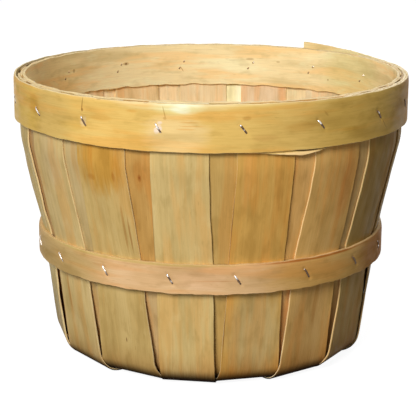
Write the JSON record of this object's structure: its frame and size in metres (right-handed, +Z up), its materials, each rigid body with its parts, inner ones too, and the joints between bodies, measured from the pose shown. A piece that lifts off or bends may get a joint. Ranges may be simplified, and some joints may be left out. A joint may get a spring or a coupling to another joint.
{
  "type": "peck basket",
  "caption": "Round tapered fruit basket of bent wood splints crossing under the bottom, held by a wide double rim hoop and a narrow middle hoop with wire staples.",
  "frame": {"origin": "centre of the foot, on the surface that the basket stands on", "axes": "+Z up along the basket's axis, through the open mouth; -Y is the front in the picture"},
  "size_m": [0.2797, 0.2794, 0.203],
  "materials": {
    "outer_splint_wood": "raw",
    "inner_splint_wood": "raw",
    "top_hoop_wood": "raw",
    "inner_hoop_wood": "raw",
    "middle_hoop_wood": "raw",
    "staple_steel": "bright"
  },
  "bodies": {
    "root": {"outer_splint_1": "outer_splint_wood", "outer_splint_2": "outer_splint_wood", "outer_splint_3": "outer_splint_wood", "outer_splint_4": "outer_splint_wood", "outer_splint_5": "outer_splint_wood", "outer_splint_6": "outer_splint_wood", "outer_splint_7": "outer_splint_wood", "outer_splint_8": "outer_splint_wood", "inner_splint_1": "inner_splint_wood", "inner_splint_2": "inner_splint_wood", "inner_splint_3": "inner_splint_wood", "inner_splint_4": "inner_splint_wood", "inner_splint_5": "inner_splint_wood", "inner_splint_6": "inner_splint_wood", "inner_splint_7": "inner_splint_wood", "inner_splint_8": "inner_splint_wood", "top_outer_hoop": "top_hoop_wood", "top_inner_hoop": "inner_hoop_wood", "middle_hoop": "middle_hoop_wood", "top_hoop_staples": "staple_steel", "middle_hoop_staples": "staple_steel", "centre_staples": "staple_steel"}
  },
  "joints": []
}
